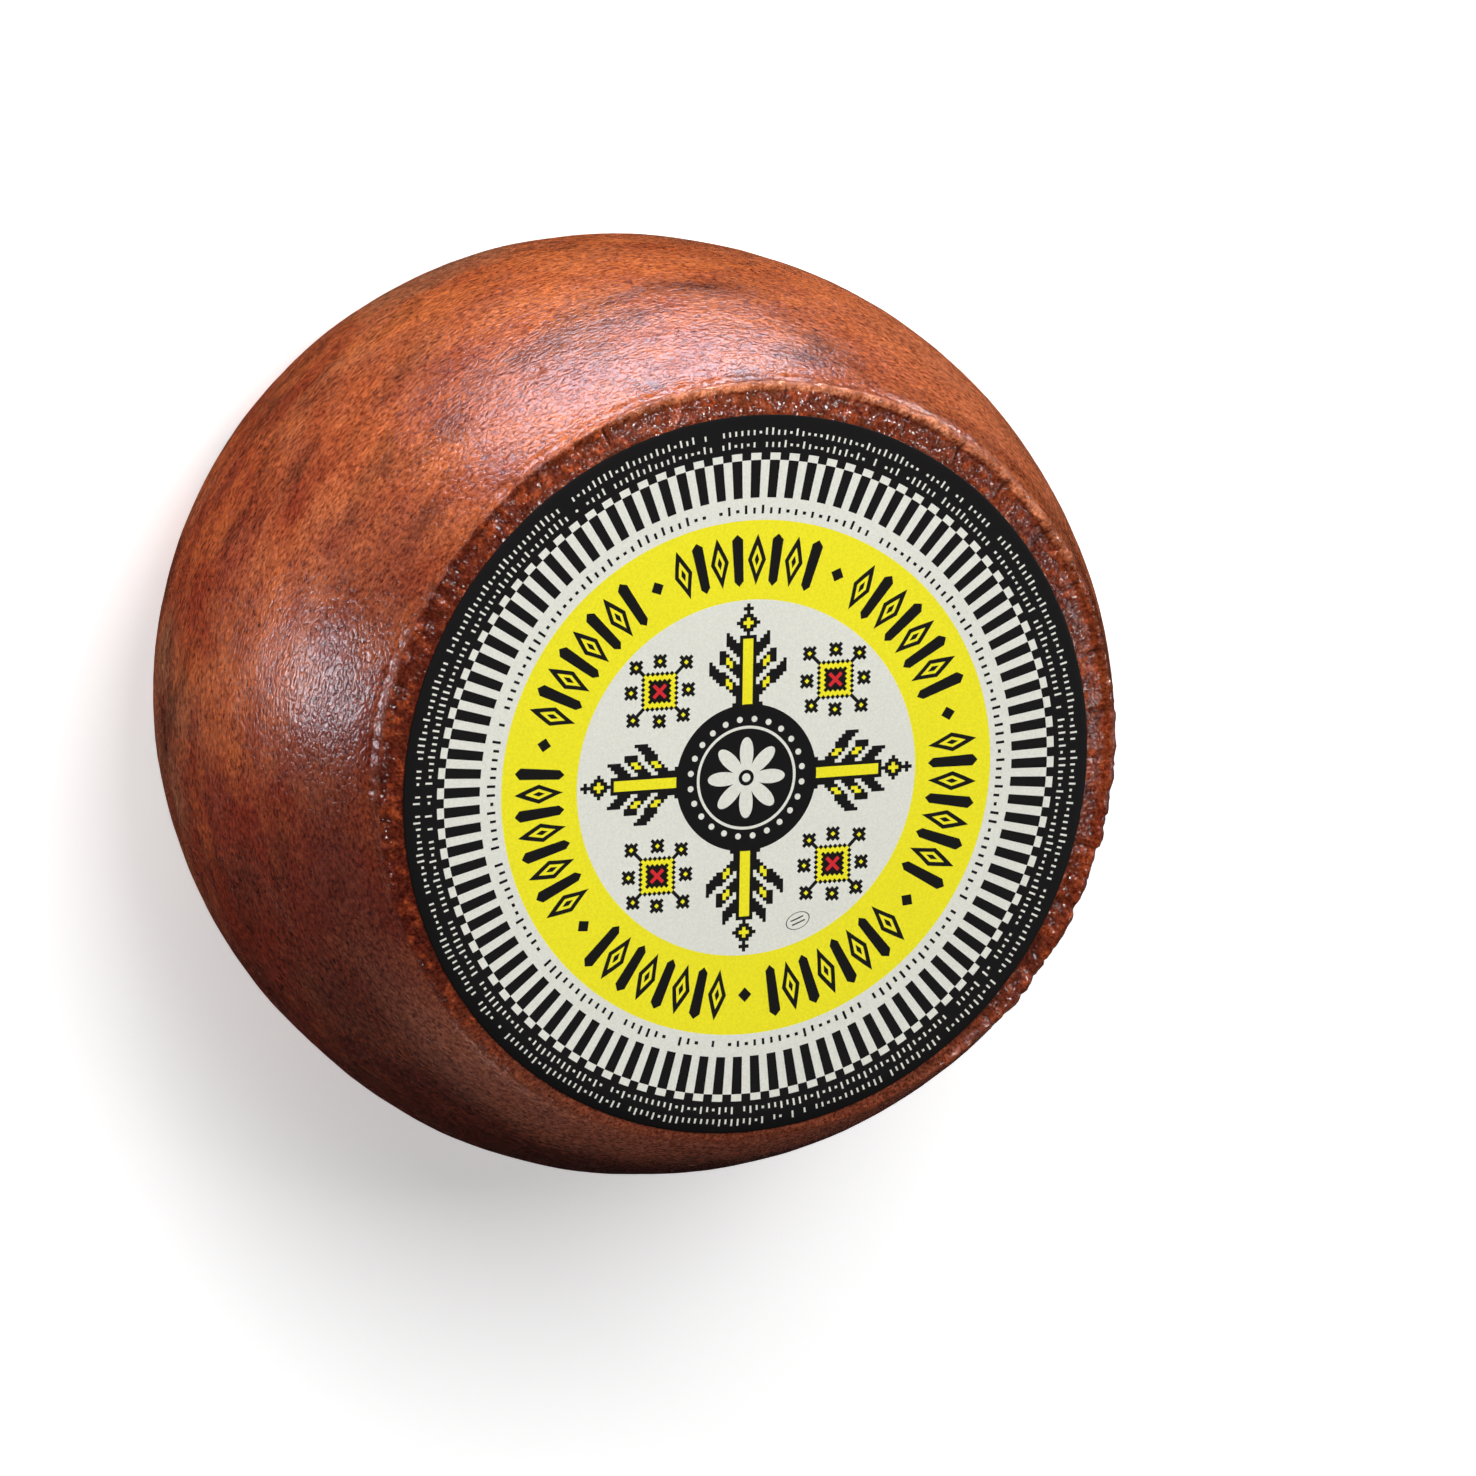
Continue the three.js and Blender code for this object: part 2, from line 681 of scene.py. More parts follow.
    def banded(self, skin: Skin, colour: Wire) -> Wire:
        """Dark band round the label, rosy knobs, painted shade, light and crest highlight.

        Args:
            skin: The skin.
            colour: The colour so far.

        Returns:
            The colour.
        """
        graph = skin.graph
        x, along, _ = graph.split(skin.place)
        painted_lit_side = self.towards(graph, skin.place, self.lit_side_way, self.lit_side_reach)
        painted_east_light = graph.ramp(x, *self.east_light_x)
        knob = graph.attribute("knob")
        crest = graph.attribute("crest")
        # painted light: the knobs turn rosier towards +x
        rosy = graph.math("ADD", graph.ramp(knob, 0.48, 0.66) * 0.8, painted_east_light * 0.4, clamp=True)
        inked = graph.tint(rosy, self.ring, self.knob)
        # painted shade in the low ground between the knobs
        inked = graph.tint(graph.ramp(knob, 0.46, 0.34) * 0.7, inked, self.deep_dark_and_shade)
        # painted light: the band is less dark on the side facing up and right, most on the crest
        depth = 0.25 + graph.ramp(along, *self.ring_along) * (0.63 - painted_lit_side * 0.10)
        depth = depth * (1.0 - graph.ramp(crest, 0.1, 0.7) * painted_lit_side * 0.85)
        colour = graph.tint(skin.band * depth, colour, inked)
        # painted highlight on the ridge's crest, on the side facing up, brightest on knob tops
        facing = self.towards(graph, skin.place, self.crest_highlight_way, self.crest_highlight_reach)
        lit = graph.ramp(crest, 0.2, 0.75) * facing
        lit = lit * (0.3 + graph.ramp(knob, 0.40, 0.60) * 0.7)
        return graph.tint(lit * 0.95, colour, self.painted_crest_highlight)

    def grain_dots_and_painted_shade(self, skin: Skin, colour: Wire) -> Wire:
        """The grain's light and dark, dark dots, and painted shade in grain hollows and creases.

        Args:
            skin: The skin.
            colour: The colour so far.

        Returns:
            The colour.
        """
        graph = skin.graph
        share = graph.ramp(skin.fleck, 0.34, 0.66, False)
        tone = graph.mix_vector(share, self.dark_tone, self.light_tone)
        colour = graph.vector("MULTIPLY", colour, tone)
        # painted shade in the grain's low hollows and cracks
        painted_hollow_shade = graph.ramp(skin.grain, 0.34, 0.10)
        colour = graph.tint(painted_hollow_shade * 0.6, colour, self.deep_dark_and_shade)
        cells = graph.cells(skin.place, self.dots_per_metre)
        dot = graph.ramp(graph.out(cells, "Distance"), 0.11, 0.05)
        dot = dot * (graph.split(graph.out(cells, "Color"))[0] > 0.72)
        colour = graph.tint(dot * 0.8, colour, self.deep_dark_and_shade)
        # painted shade at the bottoms of the creases across the band
        crease = graph.ramp(graph.attribute("crease"), 0.25, 0.9)
        return graph.tint(crease * 0.8, colour, self.deep_dark_and_shade)


class Ink(Enum):
    """The label's inks, as linear colours."""

    PAPER = (0.83, 0.83, 0.745, 1.0)
    BLACK = (0.0085, 0.0078, 0.0080, 1.0)
    YELLOW = (0.97, 0.875, 0.024, 1.0)
    RED = (0.72, 0.028, 0.035, 1.0)


class PrintPlace(NamedTuple):
    """A place on the print: its distance from the centre in label radii, and turns from the top."""

    graph: Graph
    out: Wire
    clock: Wire


@dataclass(frozen=True)
class PrintedPaper:
    """The label's paper and its print: rings, bars, checks, tick rows and stitched ornament."""

    centre: Point
    radius: float
    turned: float = math.radians(1.5)
    shift: Point = (0.31 * MM, -0.57 * MM)
    disc: float = 0.204
    yellow_from: float = 0.493
    yellow_to: float = 0.713
    bars_from: float = 0.775
    bars_to: float = 0.879
    checks_to: float = 0.899
    bars: int = 100
    repeats: int = 7
    ornament_at: float = 0.6035
    ornament_half: float = 0.0685
    stitch: float = 0.0098
    square_at: float = 0.3620
    stamp_at: tuple[float, float] = (0.4415, 0.437)
    inner_row: tuple[float, float, int, float] = (0.729, 0.755, 190, 31.0)
    middle_row: tuple[float, float, int, float] = (0.913, 0.934, 320, 57.0)
    outer_row: tuple[float, float, int, float] = (0.947, 0.968, 336, 83.0)

    def build(self, shared: SharedGroups) -> bpy.types.Material:
        """Make the material.

        Args:
            shared: The shared groups.

        Returns:
            The material.
        """
        material, graph, shader = new_material("printed_paper")
        place = graph.out(graph.node("ShaderNodeTexCoord"), "Object")
        made = use_group(graph, self.print_group(), {"Vector": place})
        colour = graph.out(made, "Colour")
        inked = graph.out(made, "Inked")
        fibre = graph.out(
            use_group(
                graph,
                shared.pebble,
                {"Vector": place, "W": 0.3, "Size": 0.5 * MM, "Crack Share": 0.0},
            )
        )
        uneven = graph.out(
            use_group(
                graph,
                shared.mottle,
                {"Vector": place, "W": 0.4, "Size": 0.03, "Low": 0.2, "High": 0.8},
            )
        )
        shade = 0.78 + fibre * 0.40 + uneven * 0.03
        toned = graph.tint(1.0, colour, graph.join(shade, shade, shade), "MULTIPLY")
        graph.feed(shader.inputs["Base Color"], toned)
        graph.feed(shader.inputs["Roughness"], 0.72 - inked * 0.14 + fibre * 0.06)
        shader.inputs["Specular IOR Level"].default_value = 0.12
        bump = graph.node(
            "ShaderNodeBump", {"Height": fibre, "Strength": 0.6, "Distance": 0.04 * MM}
        )
        graph.feed(shader.inputs["Normal"], graph.out(bump))
        return material

    def print_group(self) -> bpy.types.NodeTree:
        """Draw the whole print.

        Returns:
            A group with input Vector and outputs Colour and Inked.
        """
        graph = Graph.group("label_print", TreeKind.SHADER)
        wires = graph.inputs({"Vector": (SocketKind.VECTOR, None)})
        x, y, _ = graph.split(wires["Vector"])
        x = (x - self.centre[0] - self.shift[0]) / self.radius
        y = (y - self.centre[1] - self.shift[1]) / self.radius
        out = graph.math("SQRT", x * x + y * y)
        clock = graph.fract(graph.math("ARCTAN2", x, y) / TURN + (1.0 + self.turned / TURN))

        at = PrintPlace(graph, out, clock)

        band = graph.between(out, self.yellow_from, self.yellow_to)
        dark = graph.either(
            out < self.disc,
            out > self.checks_to,
            self.bar_ring(at),
            self.small_ticks(at, *self.inner_row),
            self.lozenge_ring(at),
        )
        light = graph.either(
            self.small_ticks(at, *self.middle_row),
            self.small_ticks(at, *self.outer_row),
            self.emblem(at),
        )
        fern_dark, fern_yellow = self.stitched_fern(at)
        square_dark, square_yellow, square_red = self.stitched_square(at)
        stamp = self.oval_stamp(at)
        dark = graph.either(dark, fern_dark, square_dark, stamp)
        yellow = graph.either(band, fern_yellow, square_yellow)

        colour = graph.tint(band, Ink.PAPER.value, Ink.YELLOW.value)
        colour = graph.tint(dark, colour, Ink.BLACK.value)
        colour = graph.tint(light, colour, Ink.PAPER.value)
        stitched = graph.either(fern_yellow, square_yellow)
        colour = graph.tint(stitched, colour, Ink.YELLOW.value)
        colour = graph.tint(square_red, colour, Ink.RED.value)
        inked = graph.either(dark, yellow, square_red)
        graph.outputs(
            {"Colour": (SocketKind.COLOUR, colour), "Inked": (SocketKind.NUMBER, inked)}
        )
        return graph.tree

    def bar_ring(self, at: PrintPlace) -> Wire:
        """The ring of bars with a row of checks outside it.

        Args:
            at: The place on the print.

        Returns:
            A mask of the black in it.
        """
        graph, out, clock = at
        beat = graph.fract(clock * self.bars) < 0.535
        bars = graph.between(out, self.bars_from, self.bars_to) * beat
        checks = graph.between(out, self.bars_to, self.checks_to + 0.001) * (1.0 - beat)
        return graph.either(bars, checks)

    @staticmethod
    def small_ticks(at: PrintPlace, low: float, high: float, count: int, seed: float) -> Wire:
        """A row of fine ticks and dots.

        Args:
            at: The place on the print.
            low: Where the row starts.
            high: Where the row ends.
            count: How many ticks would fill the ring.
            seed: What sets the order of long and short ticks.

        Returns:
            A mask of the ticks.
        """
        graph, out, clock = at
        beat = clock * count
        cell = graph.math("FLOOR", beat)
        across = graph.size(graph.fract(beat) - 0.5)
        up = (out - low) / (high - low)
        tall = graph.chance(cell + seed)
        kind = graph.chance(cell + seed * 3.0)
        head = 0.72 + (tall > 0.6) * 0.28
        tick = (across < 0.15) * graph.between(up, 0.06, head) * graph.between(kind, 0.16, 0.92)
        dot = (graph.size(up - 0.42) < 0.17) * (across < 0.2) * (kind < 0.16)
        return graph.either(tick, dot)

    def lozenge_ring(self, at: PrintPlace) -> Wire:
        """The yellow ring's ornament: groups of tall bars and lozenges, set apart by diamonds.

        Args:
            at: The place on the print.

        Returns:
            A mask of the black in it.
        """
        graph, out, clock = at
        beat = graph.fract(clock * self.repeats - 0.49) * 10.0
        slot = graph.math("FLOOR", beat)
        across = graph.size(graph.fract(beat) - 0.5)
        up = graph.size(out - self.ornament_at) / self.ornament_half
        odd = graph.fract(slot / 2.0) > 0.25
        bar = (across < 0.27) * ((up + across * 0.8) < 1.06)
        reach = across / 0.47 + up
        lozenge = graph.either(graph.between(reach, 0.58, 1.04), reach < 0.26)
        shape = graph.mix(odd, bar, lozenge)
        near = graph.math("MINIMUM", beat, 10.0 - beat)
        apart = (near / 0.36 + up / 0.30) < 1.0
        return graph.mix(near < 1.0, shape, apart)

    def emblem(self, at: PrintPlace) -> Wire:
        """A plain rosette in a ring, on the middle disc.

        Args:
            at: The place on the print.

        Returns:
            A mask of the light lines.
        """
        graph, out, clock = at
        wave = graph.size(graph.math("COSINE", clock * (TURN * 4.0)))
        petals = graph.between(out, 0.022, wave * 0.072 + 0.040)
        heart = out < 0.012
        ring = graph.between(out, 0.136, 0.144)
        beads = graph.fract(clock * 24.0)
        bead = (
            graph.math("SQRT", _square((out - 0.163)) + _square((beads - 0.5) * 0.0427)) < 0.0085
        )
        return graph.either(petals, heart, ring, bead)

    def stitched_fern(self, at: PrintPlace) -> tuple[Wire, Wire]:
        """Four stitched ferns with yellow stems, at the quarters of the ring.

        Args:
            at: The place on the print.

        Returns:
            Masks of the black and of the yellow.
        """
        graph, out, clock = at
        turn = (graph.fract(clock * 4.0 + 0.5) - 0.5) * (TURN / 4.0)
        side = graph.size(graph.math("ROUND", out * graph.math("SINE", turn) / self.stitch))
        rise = graph.math("ROUND", (out * graph.math("COSINE", turn) - self.disc) / self.stitch)
        lift = rise - graph.math("ROUND", side * 0.8)
        tier = graph.fract((lift + 0.5) / 6.0) * 6.0 - 0.5
        step = graph.math("FLOOR", (lift + 0.5) / 6.0)
        leaf = (tier < 3.5) * (side < (11.6 - step * 2.6)) * graph.between(lift, -0.5, 17.5)
        foot = (side < (4.6 - rise)) * (rise > -0.5)
        trunk = (side < 2.6) * graph.between(rise, -0.5, 19.5)
        tip = (side + graph.size(rise - 23.0)) < 3.6
        end = (side + graph.size(rise - 27.0)) < 1.6
        stem = (side < 1.4) * graph.between(rise, -0.5, 18.5)
        heart = (side + graph.size(rise - 23.0)) < 1.6
        seed = (graph.size(tier - 1.5) < 0.6) * graph.between(side, 4.5, 6.5) * (lift < 11.5)
        inner = graph.between(out, self.disc, self.yellow_from - 0.006)
        light = graph.either(stem, seed * leaf, heart)
        dark = graph.either(leaf, foot, trunk, tip, end) * (1.0 - light) * inner
        return dark, light * inner

    def stitched_square(self, at: PrintPlace) -> tuple[Wire, Wire, Wire]:
        """Four stitched squares between the ferns, each with a cross in it and knots round it.

        Args:
            at: The place on the print.

        Returns:
            Masks of the black, the yellow and the red.
        """
        graph, out, clock = at
        turn = (graph.fract(clock * 4.0) - 0.5) * (TURN / 4.0)
        side = graph.size(graph.math("ROUND", out * graph.math("SINE", turn) / self.stitch))
        rise = out * graph.math("COSINE", turn) - self.square_at
        rise = graph.size(graph.math("ROUND", rise / self.stitch))
        span = side + rise
        ring = graph.between(span, 4.5, 6.5)
        cross = (span < 2.5) * (side * rise < 0.5)
        edge = span < 7.5
        far_side = graph.size(side - 11.0) + rise
        far_up = side + graph.size(rise - 10.0)
        corner = graph.size(side - 6.0) + graph.size(rise - 6.0)
        small = graph.either(far_side < 2.5, far_up < 2.5, corner < 2.5)
        core = graph.either(far_side < 0.5, far_up < 0.5, corner < 0.5)
        link = graph.either(
            (side < 0.5) * graph.between(rise, 6.5, 9.5),
            (rise < 0.5) * graph.between(side, 6.5, 9.5),
        )
        inner = graph.between(out, self.disc, self.yellow_from - 0.004)
        dark = graph.either(edge, small, link) * inner
        return dark, graph.either(ring, core) * inner, cross

    def oval_stamp(self, at: PrintPlace) -> Wire:
        """A small oval outline with two dashes in it.

        Args:
            at: The place on the print.

        Returns:
            A mask of its lines.
        """
        graph, out, clock = at
        along = (clock - self.stamp_at[0]) * (TURN * self.stamp_at[1])
        up = out - self.stamp_at[1]
        reach = graph.math("SQRT", _square(along / 0.036) + _square(up / 0.023))
        line = graph.between(reach, 0.92, 1.0)
        dashes = (graph.size(along) < 0.02) * (graph.size(graph.size(up) - 0.006) < 0.0018)
        return graph.either(line, dashes)


def _square(value: Wire) -> Wire:
    """A number times itself."""
    return value * value


# ---------------------------------------------------------------- geometry


def curve_through(points: Sequence[Point], count: int) -> list[Point]:
    """Points at even steps along a smooth curve through some points.

    Args:
        points: The points, ends included.
        count: How many to give back, ends included.

    Returns:
        The new points.
    """
    fine: list[Point] = []
    steps = 40
    last = len(points) - 1
    for i in range(last):
        a, b = points[max(i - 1, 0)], points[i]
        c, d = points[i + 1], points[min(i + 2, last)]
        for k in range(steps):
            t = k / steps
            fine.append(
                tuple(
                    0.5
                    * (
                        2 * b[j]
                        + (c[j] - a[j]) * t
                        + (2 * a[j] - 5 * b[j] + 4 * c[j] - d[j]) * t * t
                        + (3 * b[j] - a[j] - 3 * c[j] + d[j]) * t**3
                    )
                    for j in range(2)
                )
            )
    fine.append(tuple(points[-1]))
    run = [0.0]
    for a, b in zip(fine, fine[1:]):
        run.append(run[-1] + math.dist(a, b))
    even: list[Point] = []
    at = 0
    for k in range(count):
        goal = run[-1] * k / (count - 1)
        while at < len(run) - 2 and run[at + 1] < goal:
            at += 1
        share = (goal - run[at]) / max(run[at + 1] - run[at], 1e-12)
        even.append(
            (
                fine[at][0] + (fine[at + 1][0] - fine[at][0]) * share,
                fine[at][1] + (fine[at + 1][1] - fine[at][1]) * share,
            )
        )
    return even


@dataclass
class CheeseWheel:
    """The wheel: one body of rind and paste, turned from a half outline and then roughened.

    Two outlines are mixed round the wheel: a soft shoulder, and one with a torn ridge.
    """

    widest: float
    height: float
    label_centre: Point
    label_radius: float
    bulge: float = 0.75 * MM
    upper_arc: float = 127.6 * MM
    lower_arc: float = 138.6 * MM
    soft_shoulder: float = 10.0 * MM
    base_shoulder: float = 8.0 * MM
    face_drop: float = 0.15 * MM
    ridge_slope: float = math.radians(28.6)
    lip: tuple[Point, ...] = (
        (82.25 * MM, 127.6 * MM),
        (81.8 * MM, 128.8 * MM),
        (81.3 * MM, 129.8 * MM),
        (80.85 * MM, 130.15 * MM),
        (80.3 * MM, 130.1 * MM),
        (79.3 * MM, 130.3 * MM),
        (77.6 * MM, 130.95 * MM),
    )
    lip_end: float = 75.9 * MM
    face_from: float = 73.5 * MM
    inner_margin: float = 6.0 * MM
    rough_from: float = 74.0 * MM
    band_from: float = 81.8 * MM
    band_fade: float = 1.4 * MM
    crest_at: Point = (80.9 * MM, 130.1 * MM)
    crest_reach: float = 1.8 * MM
    groove_at: Point = (82.4 * MM, 127.3 * MM)
    groove_reach: float = 1.5 * MM
    low_groove_at: Point = (86.2 * MM, 119.6 * MM)
    low_groove_reach: float = 1.9 * MM
    turns: int = 656
    side_rows: int = 80
    shoulder_rows: int = 44
    map_low: float = math.radians(-38.5)
    map_high: float = math.radians(42.0)
    map_face: float = 0.12
    map_row: float = 0.35
    relief: Mapping[str, float] = field(
        default_factory=lambda: {
            "Lump Height": 0.9 * MM,
            "Lump Size": 55.0 * MM,
            "Ripple Height": 0.34 * MM,
            "Ripple Size": 11.0 * MM,
            "Grain Height": 0.13 * MM,
            "Grain Size": 3.4 * MM,
            "Pit Depth": 0.75 * MM,
            "Pit Spacing": 17.0 * MM,
            "Knob Height": 0.26 * MM,
            "Knob Size": 2.3 * MM,
            "Crease Depth": 0.8 * MM,
            "Crease Count": 36.0,
            "Sag": 0.65 * MM,
            "Sag Facing": math.radians(258.0),
            "Ridge Spread": 1.0 * MM,
            "Ridge Height": 0.6 * MM,
            "Ridge Tatter": 0.75 * MM,
            "Ridge Facing": math.radians(68.0),
            "Groove Depth": 0.75 * MM,
            "Groove Facing": math.radians(12.0),
            "Seed": 4.0,
        }
    )

    def arc_point(self, angle: float) -> Point:
        """The point of the side whose normal rises by an angle."""
        arc = self.upper_arc if angle > 0.0 else self.lower_arc
        radius = self.widest + self.bulge - arc * (1.0 - math.cos(angle))
        return radius, self.height / 2.0 + arc * math.sin(angle)

    def shoulder(self, fillet: float, level: float, arc: float) -> tuple[float, float]:
        """Where a rounded shoulder starts.

        Args:
            fillet: The shoulder's radius.
            level: The face's height over the middle of the wheel.
            arc: The radius of the side's arc that it meets.

        Returns:
            The radius at which the face's flat ends, and the side's angle where the arc starts.
        """
        reach = arc - fillet
        rise = level - fillet
        run = math.sqrt(reach * reach - rise * rise)
        return self.widest + self.bulge - arc + run, math.atan2(rise, run)

    def fillet_points(self, fillet: float, level: float, count: int, up: bool) -> list[Point]:
        """Points round a shoulder, from the side to the face, or from the face to the side.

        Args:
            fillet: The shoulder's radius.
            level: The face's height over the middle of the wheel.
            count: How many points.
            up: True for the upper shoulder.

        Returns:
            The points.
        """
        flat, start = self.shoulder(fillet, level, self.upper_arc if up else self.lower_arc)
        middle = self.height / 2.0
        points = []
        for k in range(count):
            angle = start + (math.pi / 2.0 - start) * k / (count - 1)
            rise = level - fillet + fillet * math.sin(angle)
            points.append((flat + fillet * math.cos(angle), middle + (rise if up else -rise)))
        return points if up else points[::-1]

    def outlines(self) -> tuple[list[Point], list[Point], dict[str, list[float]]]:
        """The two half outlines with what is marked along them.

        Returns:
            The soft outline, the ridged one, and the marks: how much the skin is roughened, the
            band round the label, the ridge's crest and the grooves outside it.
        """
        half = self.height / 2.0
        base_flat, base_start = self.shoulder(self.base_shoulder, half, self.lower_arc)
        top_level = half - self.face_drop
        face_flat, soft_start = self.shoulder(self.soft_shoulder, top_level, self.upper_arc)
        top = half + top_level

        base = [(base_flat * (k / 8.0) ** 0.6, 0.0) for k in range(8)]
        base += self.fillet_points(self.base_shoulder, half, 14, False)
        soft = list(base)
        ridged = list(base)
        for k in range(1, self.side_rows):
            share = k / self.side_rows
            share = share + 0.10 * math.sin(math.pi * share)
            soft.append(self.arc_point(-base_start + (soft_start + base_start) * share))
            ridged.append(self.arc_point(-base_start + (self.ridge_slope + base_start) * share))
        count = self.shoulder_rows
        inner = face_flat - self.inner_margin
        round_points = self.fillet_points(self.soft_shoulder, top_level, 30, True)
        soft += curve_through([*round_points, (inner, top)], count)
        lip = [
            self.arc_point(self.ridge_slope),
            *self.lip,
            (self.lip_end, top - 0.2 * MM),
            (self.face_from, top),
            (inner, top),
        ]
        ridged += curve_through(lip, count)
        faces = [(inner * (1.0 - k / 4.0), top) for k in range(1, 5)]
        soft += faces
        ridged += faces

        marks: dict[str, list[float]] = {"rough": [], "band": [], "crest": [], "groove": []}
        for outer, rim in ridged:
            high = rim > half
            edge = self.rough_from if high else base_flat - 4.0 * MM
            marks["rough"].append(min(max((outer - edge) / (4.5 * MM), 0.0), 1.0))
            shoulder = min(max((self.band_from - outer) / self.band_fade, 0.0), 1.0)
            marks["band"].append(shoulder if rim > self.height * 0.94 else 0.0)
            away = math.dist((outer, rim), self.crest_at) / self.crest_reach
            marks["crest"].append(max(0.0, 1.0 - away * away) ** 2)
            near = math.dist((outer, rim), self.groove_at) / self.groove_reach
            far = math.dist((outer, rim), self.low_groove_at) / self.low_groove_reach
            marks["groove"].append(max(0.0, 1.0 - near, 0.5 - 0.5 * far))
        return soft, ridged, marks

    def outline_mesh(self) -> bpy.types.Object:
        """The outlines as a line of vertices that carries what the tree needs.

        Returns:
            The object.
        """
        soft, ridged, marks = self.outlines()
        mesh = bpy.data.meshes.new("rind_wheel")
        mesh.from_pydata(
            [(r, 0.0, z) for r, z in soft], [(i, i + 1) for i in range(len(soft) - 1)], []
        )
        other = mesh.attributes.new("ridged", "FLOAT_VECTOR", "POINT")
        other.data.foreach_set("vector", [n for r, z in ridged for n in (r, 0.0, z)])
        for name, values in marks.items():
            mesh.attributes.new(name, "FLOAT", "POINT").data.foreach_set("value", values)
        made = bpy.data.objects.new("rind_wheel", mesh)
        bpy.context.scene.collection.objects.link(made)
        return made

    def tree(self) -> bpy.types.NodeTree:
        """The tree that turns the outline into the wheel and roughens its skin.

        Returns:
            The tree.
        """
        graph = Graph.group("turned_rind", TreeKind.GEOMETRY)
        sockets = {"Outline": (SocketKind.MESH, None), "Turns": (SocketKind.WHOLE, self.turns)}
        sockets.update({name: (SocketKind.NUMBER, size) for name, size in self.relief.items()})
        sockets["Finish"] = (SocketKind.MATERIAL, None)
        wires = graph.inputs(sockets)

        grid, turn, sampled = self.turned_grid(graph, wires)
        mixed, share = self.ridge_share(graph, wires, turn, sampled)
        radius, _, level = graph.split(mixed)
        cosine, sine = graph.math("COSINE", turn), graph.math("SINE", turn)
        spread = graph.ramp(level, 85.0 * MM, 127.0 * MM) * graph.ramp(radius, 74.5 * MM, 80.0 * MM)
        radius = radius + spread * _square(cosine) * wires["Ridge Spread"]
        high = level / (self.height / 2.0) - 1.0
        sag = (1.0 - _square(high)) * wires["Sag"]
        around = graph.join(
            radius * cosine + sag * graph.math("COSINE", wires["Sag Facing"]),
            radius * sine + sag * graph.math("SINE", wires["Sag Facing"]),
            level,
        )
        placed = graph.node("GeometryNodeSetPosition", {"Geometry": grid, "Position": around})
        body = graph.out(graph.node("GeometryNodeFlipFaces", {"Mesh": graph.out(placed)}))
        for name in ("rough", "band", "crest", "groove"):
            body = self.stored(graph, body, name, sampled[name])
        body = self.stored(graph, body, "ridge", share)
        body = graph.out(
            graph.node("GeometryNodeMergeByDistance", {"Geometry": body, "Distance": 1e-6})
        )
        body = self.stored(graph, body, "bare", self.bare_mark(graph))
        body = self.stored(graph, body, "crease", self.crease_mark(graph, wires))
        place = graph.out(graph.node("GeometryNodeInputPosition"))
        knob = graph.noise(
            place, graph.math("DIVIDE", 1.0, wires["Knob Size"]), 2.0, 0.55, wires["Seed"] + 13.0
        )
        body = self.stored(graph, body, "knob", knob)
        height = self.skin_height(graph, wires)
        normal = graph.out(graph.node("GeometryNodeInputNormal"), "Normal")
        body = graph.out(
            graph.node(
                "GeometryNodeSetPosition",
                {"Geometry": body, "Offset": graph.scaled(normal, height)},
            )
        )
        x, y, level = graph.split(graph.out(graph.node("GeometryNodeInputPosition")))
        kept = graph.join(x, y, graph.math("MAXIMUM", level, 0.0))
        body = graph.out(
            graph.node("GeometryNodeSetPosition", {"Geometry": body, "Position": kept})
        )
        body = graph.out(graph.node("GeometryNodeSetShadeSmooth", {"Geometry": body}))
        body = graph.out(graph.node("GeometryNodeRealizeInstances", {"Geometry": body}))
        body = graph.out(
            graph.node("GeometryNodeSetMaterial", {"Geometry": body, "Material": wires["Finish"]})
        )
        graph.outputs({"Wheel": (SocketKind.MESH, body)})
        return graph.tree

    @staticmethod
    def stored(graph: Graph, body: Wire, name: str, value: Wire) -> Wire:
        """Keep a number on every point.

        Args:
            graph: The tree's graph.
            body: The mesh.
            name: The attribute's name.
            value: The number.

        Returns:
            The mesh with the attribute.
        """
        made = graph.node(
            "GeometryNodeStoreNamedAttribute",
            {"Geometry": body, "Name": name, "Value": value},
            data_type="FLOAT",
            domain="POINT",
        )
        return graph.out(made)

    @staticmethod
    def read(graph: Graph, name: str) -> Wire:
        """A number kept on every point."""
        made = graph.node("GeometryNodeInputNamedAttribute", {"Name": name}, data_type="FLOAT")
        return graph.out(made, "Attribute")

    @classmethod
    def crease_mark(cls, graph: Graph, wires: Mapping[str, Wire]) -> Wire:
        """Short creases across the band, at nearly even steps round the wheel.

        Args:
            graph: The tree's graph.
            wires: The tree's inputs.

        Returns:
            1 at the bottom of a crease, 0 away from it.
        """
        x, y, _ = graph.split(graph.out(graph.node("GeometryNodeInputPosition")))
        turn = graph.math("ARCTAN2", y, x)
        flat = graph.vector("NORMALIZE", graph.join(x, y, 0.0))
        drift = graph.noise(flat, 3.0, 1.0, 0.5, wires["Seed"] + 7.0) * 2.6
        beat = graph.size(graph.math("SINE", turn * wires["Crease Count"] * 0.5 + drift))
        depth = graph.ramp(graph.noise(flat, 6.0, 1.0, 0.5, wires["Seed"] + 8.0), 0.36, 0.5)
        bare = cls.read(graph, "bare") * cls.read(graph, "band")
        return graph.ramp(beat, 0.16, 0.02) * bare * depth

    def bare_mark(self, graph: Graph) -> Wire:
        """Where the skin is clear of the label.

        Args:
            graph: The tree's graph.

        Returns:
            0 under the label, rising to 1 a few millimetres outside it, and 1 low on the wheel.
        """
        x, y, level = graph.split(graph.out(graph.node("GeometryNodeInputPosition")))
        away = graph.math(
            "SQRT", _square(x - self.label_centre[0]) + _square(y - self.label_centre[1])
        )
        clear = graph.ramp(away, self.label_radius, self.label_radius + 2.2 * MM)
        return graph.math("MAXIMUM", clear, level < self.height * 0.9)

